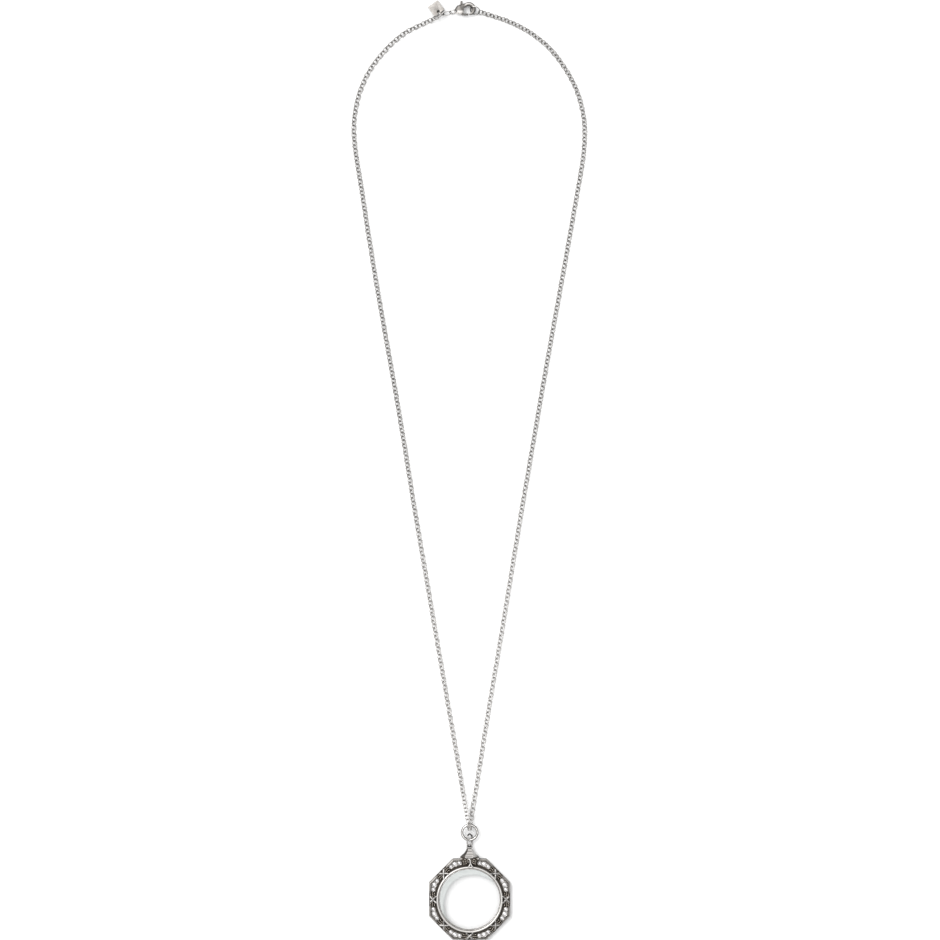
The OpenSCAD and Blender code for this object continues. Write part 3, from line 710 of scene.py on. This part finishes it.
def make_side_relief(bright, leafy):
    """Crossed ribbons from the bezel to the rim at each side's middle, and leaves beside them."""
    ribbons = bmesh.new()
    leaves = bmesh.new()
    for side in range(SIDES):
        if side == CROWN_SIDE:
            continue
        angle = SIDE_ANGLE * side
        for way in (-1, 1):
            route = [on_side(angle, out, way * along, up if along else up + way * CROSS_LIFT)
                     for out, along, up in CROSS_RIBBON]
            ribbon(ribbons, route, width=1.0, height=0.36)
            for out, along, turn, length in SIDE_LEAVES:
                at = on_side(angle, out, way * along, LEAF_UP)
                leaf(leaves, at, angle + way * turn, length, height=0.45)
    finished_piece("crossed_ribbons", ribbons, bright)
    finished_piece("side_leaves", leaves, leafy)


# The crown's relief

CROWN_TOP = 3.88
CROWN_NEAR = 18.8   # it slopes down from here to the bezel
CROWN_FAR = 19.95   # and from here to the cap
CROWN_LEAVES = [  # x, y, heading, length
    (-3.7, 20.45, 20, 1.7), (-2.9, 18.9, -15, 1.6), (-2.75, 17.8, 15, 1.4), (-2.2, 20.1, -25, 1.8),
    (-1.9, 19.3, 30, 1.6), (-1.7, 18.2, -30, 1.6), (-1.0, 19.9, 60, 1.3), (-0.75, 18.6, -60, 1.3),
    (3.7, 20.45, 160, 1.7), (2.9, 18.9, 195, 1.6), (2.75, 17.8, 165, 1.4), (2.2, 20.1, 205, 1.8),
    (2.0, 19.2, 150, 1.6), (2.0, 18.1, 200, 1.5), (1.2, 19.6, 115, 1.3), (1.35, 18.5, 60, 1.2)]
CROWN_GRAINS = [(1.5, 20.7), (3.0, 19.5), (0.95, 18.9), (2.6, 18.4)]  # on both sides
CROWN_GRAIN_R = 0.17
CROWN_EDGE_X = 4.3  # a short ribbon along each edge
CROWN_EDGE_Y = (20.9, 20.4, 20.0)
FORKED_RIBBON = [(-0.55, 20.0, 4.0), (-0.1, 20.2, 4.05), (0.25, 19.7, 4.05), (0.3, 19.0, 4.0),
                 (0.45, 18.2, 3.95), (0.8, 17.4, 3.85), (1.2, 16.7, 3.75), (1.7, 16.0, 3.65)]
FORK_LEG = [(0.4, 18.3, 3.85), (0.15, 17.6, 3.8), (-0.2, 16.9, 3.75), (-0.6, 16.15, 3.65)]
CAP_LIP = [(-2.4, 21.3, 4.0), (-0.9, 20.9, 4.1), (0.6, 20.9, 4.1), (1.9, 21.35, 4.05),
           (3.0, 21.65, 3.75), (4.2, 21.85, 3.1)]


def crown_height(y):
    """Height of the crown's block, sloping down to the bezel and a little to the cap."""
    if y < CROWN_NEAR:
        return CROWN_TOP - 0.8 * (CROWN_NEAR - y)
    return CROWN_TOP - 0.17 * max(0.0, y - CROWN_FAR)


def make_crown(leafy, bright):
    leaves = bmesh.new()
    for x, y, heading, length in CROWN_LEAVES:
        leaf(leaves, (x, y, crown_height(y) - 0.08), heading, length, height=0.36)
    finished_piece("crown_leaves", leaves, leafy)
    curls = bmesh.new()
    ribbon(curls, FORKED_RIBBON, width=0.85, height=0.34)
    ribbon(curls, FORK_LEG, width=0.75, height=0.3)
    for way in (-1, 1):
        edge = [(way * CROWN_EDGE_X, y, crown_height(y)) for y in CROWN_EDGE_Y]
        ribbon(curls, edge, width=0.45, height=0.2)
        for x, y in CROWN_GRAINS:
            bead(curls, (way * x, y, crown_height(y) + 0.15), CROWN_GRAIN_R)
    ribbon(curls, CAP_LIP, width=0.45, height=0.22)
    finished_piece("crown_ribbons", curls, bright)


# The ball at the end of the lever's tab

LEVER_BALL_AT = (-4.05, 233.5, 1.5)
LEVER_BALL_R = 0.62


def make_lever_ball(material):
    mesh = bmesh.new()
    ball(mesh, Vector(LEVER_BALL_AT) * MM, LEVER_BALL_R * MM, around=20, down=12)
    finished_piece("lever_ball", mesh, material, body="lever")


# Carried-over nodes

def dress(name, material, bevel=0.0, angle=35):
    """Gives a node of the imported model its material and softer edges."""
    node = nodes[name]
    node.data.materials.clear()
    node.data.materials.append(material)
    kept = node.data.attributes.get("custom_normal")
    if kept:
        node.data.attributes.remove(kept)
    for face in node.data.polygons:
        face.use_smooth = True
    weld = node.modifiers.new("weld", "WELD")
    weld.merge_threshold = 0.002 * MM
    if bevel:
        soft = node.modifiers.new("bevel", "BEVEL")
        soft.width = bevel * MM
        soft.segments = 2
        soft.limit_method = "ANGLE"
        soft.angle_limit = math.radians(30)
    split = node.modifiers.new("split", "EDGE_SPLIT")
    split.split_angle = math.radians(angle)


def make_floor(material):
    mesh = bmesh.new()
    bmesh.ops.create_grid(mesh, x_segments=1, y_segments=1, size=4.0)
    floor = placed("floor", mesh, material)
    floor.location.z = FLOOR_Z


set_camera()
set_light()
make_floor(floor_paper("floor_paper"))

chain = wire_silver("chain_silver", 0.36, 0.23, 0.3, paler=0.3)
bright = wire_silver("bright_silver", 0.56, 0.28, 0.16)
polished = wire_silver("polished_silver", 0.8, 0.08, 0.14, 0.98)
ribbon_silver = wire_silver("ribbon_silver", 0.33, 0.15, 0.26)
rings = wire_silver("ring_silver", 0.62, 0.12, 0.16, 0.9)
leafy = leaf_silver("leaf_silver")
lever_silver = matt_silver("lever_silver", 0.15, 0.06)

make_chain(chain)
make_crown(leafy, bright)
make_settings(bright)
make_bezel_line(polished)
make_side_relief(ribbon_silver, leafy)
make_lever_ball(lever_silver)

dress("octagon_frame", aged_silver("aged_silver"), 0.12)
dress("ornament_band", relief_silver("relief_silver", 2.3, 2.7))
dress("lens_bezel", wire_silver("bezel_silver", 0.54, 0.5, 0.32))
dress("lens", lens_glass("lens_glass"))
dress("bail_cap", cap_silver("cap_silver"), angle=25)
dress("bail_link", wire_silver("link_silver", 0.42, 0.08, 0.16, 0.92))
dress("pendant_ring", polished)
dress("clasp_body", clasp_silver("clasp_silver"), angle=50)
dress("clasp_lever", lever_silver, 0.12)
dress("clasp_pin", matt_silver("pin_silver", 0.3, 0.1), 0.05)
for name in ("tail_ring", "connector_link", "plate_ring", "end_ring"):
    dress(name, rings)
dress("plain_plate", matt_silver("plate_silver", 0.27, 0.12), 0.1)
stone = stone_glass("stone_glass")
for name in STONES:
    dress(name, stone, angle=5)
